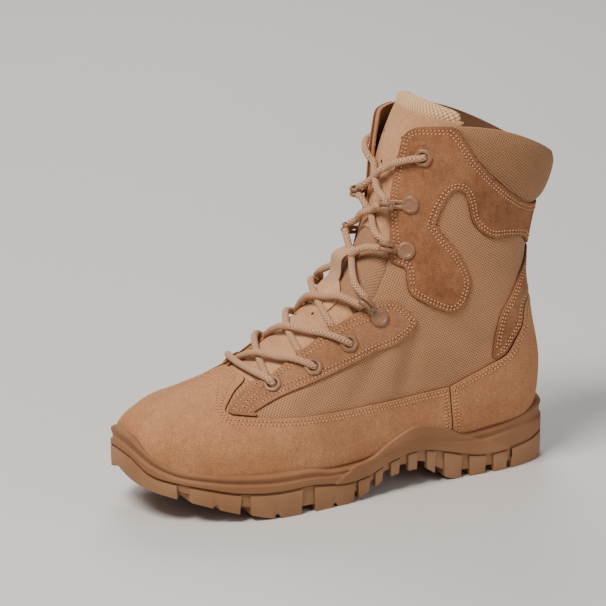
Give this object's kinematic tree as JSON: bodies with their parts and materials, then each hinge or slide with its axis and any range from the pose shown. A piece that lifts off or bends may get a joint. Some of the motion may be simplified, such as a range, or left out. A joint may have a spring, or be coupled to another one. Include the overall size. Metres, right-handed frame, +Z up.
{
  "type": "combat boot",
  "caption": "Left combat boot in tan suede and woven fabric with a lugged rubber sole, speed hooks, padded collar and criss-cross lacing.",
  "frame": {"origin": "under the middle of the bounding box, on the ground", "axes": "+X from toe to heel, -Y to the outer side of the foot, +Z up"},
  "size_m": [0.3102, 0.108, 0.2521],
  "materials": {
    "suede": "napped",
    "tongue_suede": "napped",
    "woven_fabric": "coarse weave",
    "padded_fabric": "coarse weave",
    "knit": "knit",
    "webbing": "woven tape",
    "insole_foam": "matte",
    "midsole_rubber": "matte",
    "rubber": "matte",
    "painted_metal": "satin",
    "lace_cord": "braided",
    "thread": "matte",
    "lining": "woven"
  },
  "bodies": {
    "root": {"outsole": "rubber", "midsole": "midsole_rubber", "insole": "insole_foam", "upper": "woven_fabric", "tongue": "tongue_suede", "tongue_roll": "knit", "tongue_tab": "suede", "lace_keeper": "webbing", "vamp_rand": "suede", "heel_counter": "suede", "back_stay": "suede", "lower_eyestay_lateral": "suede", "lower_eyestay_medial": "suede", "shaft_overlay": "suede", "collar_pad": "padded_fabric", "eyelet_lateral_1": "painted_metal", "eyelet_lateral_2": "painted_metal", "eyelet_lateral_3": "painted_metal", "eyelet_lateral_4": "painted_metal", "hook_lateral_1": "painted_metal", "hook_lateral_2": "painted_metal", "hook_lateral_3": "painted_metal", "eyelet_medial_1": "painted_metal", "eyelet_medial_2": "painted_metal", "eyelet_medial_3": "painted_metal", "eyelet_medial_4": "painted_metal", "hook_medial_1": "painted_metal", "hook_medial_2": "painted_metal", "hook_medial_3": "painted_metal", "laces": "lace_cord"}
  },
  "joints": []
}
